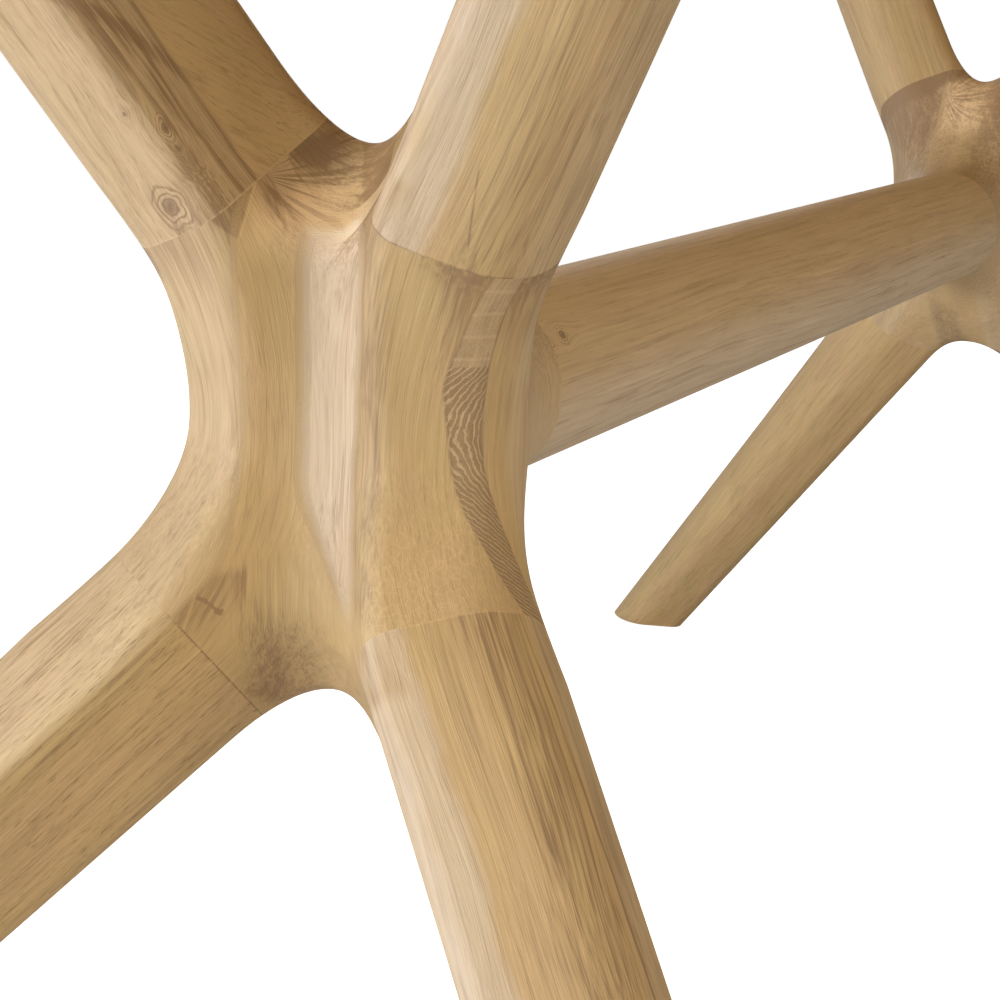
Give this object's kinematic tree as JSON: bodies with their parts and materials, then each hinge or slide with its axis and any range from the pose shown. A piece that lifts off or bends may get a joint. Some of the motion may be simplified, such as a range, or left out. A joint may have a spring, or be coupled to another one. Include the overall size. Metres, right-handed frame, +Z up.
{
  "type": "dining table",
  "caption": "Solid oak dining table: plank top on crossed sculpted legs whose hub blocks are joined by a round beam.",
  "frame": {"origin": "on the floor, under the middle of the table top", "axes": "+X along the table's length, +Y across it, +Z up"},
  "size_m": [2, 1, 0.76],
  "materials": {
    "oak_top": "matte oiled oak",
    "oak_hub": "matte oiled oak",
    "oak_arm": "matte oiled oak",
    "beech_dowel": "raw beech",
    "black_steel": "black powder coat",
    "dark_steel": "black oxide",
    "zinc_steel": "zinc plated",
    "nylon_glide": "matte nylon"
  },
  "bodies": {
    "root": {"top_plank_1": "oak_top", "top_plank_2": "oak_top", "top_plank_3": "oak_top", "top_plank_4": "oak_top", "top_plank_5": "oak_top", "top_plank_6": "oak_top", "top_plank_7": "oak_top", "top_plank_8": "oak_top", "hub_front": "oak_hub", "hub_rear": "oak_hub", "beam": "oak_arm", "upper_arm_front_left": "oak_arm", "upper_arm_front_right": "oak_arm", "upper_arm_rear_left": "oak_arm", "upper_arm_rear_right": "oak_arm", "leg_front_left": "oak_arm", "leg_front_right": "oak_arm", "leg_rear_left": "oak_arm", "leg_rear_right": "oak_arm", "arm_dowels_front": "beech_dowel", "arm_dowels_rear": "beech_dowel", "beam_dowels": "beech_dowel", "top_plate_front_left": "black_steel", "top_plate_front_right": "black_steel", "top_plate_rear_left": "black_steel", "top_plate_rear_right": "black_steel", "plate_screws": "zinc_steel", "top_bolts": "dark_steel", "threaded_inserts": "zinc_steel", "glide_front_left": "nylon_glide", "glide_front_right": "nylon_glide", "glide_rear_left": "nylon_glide", "glide_rear_right": "nylon_glide", "glide_nails": "zinc_steel"}
  },
  "joints": []
}
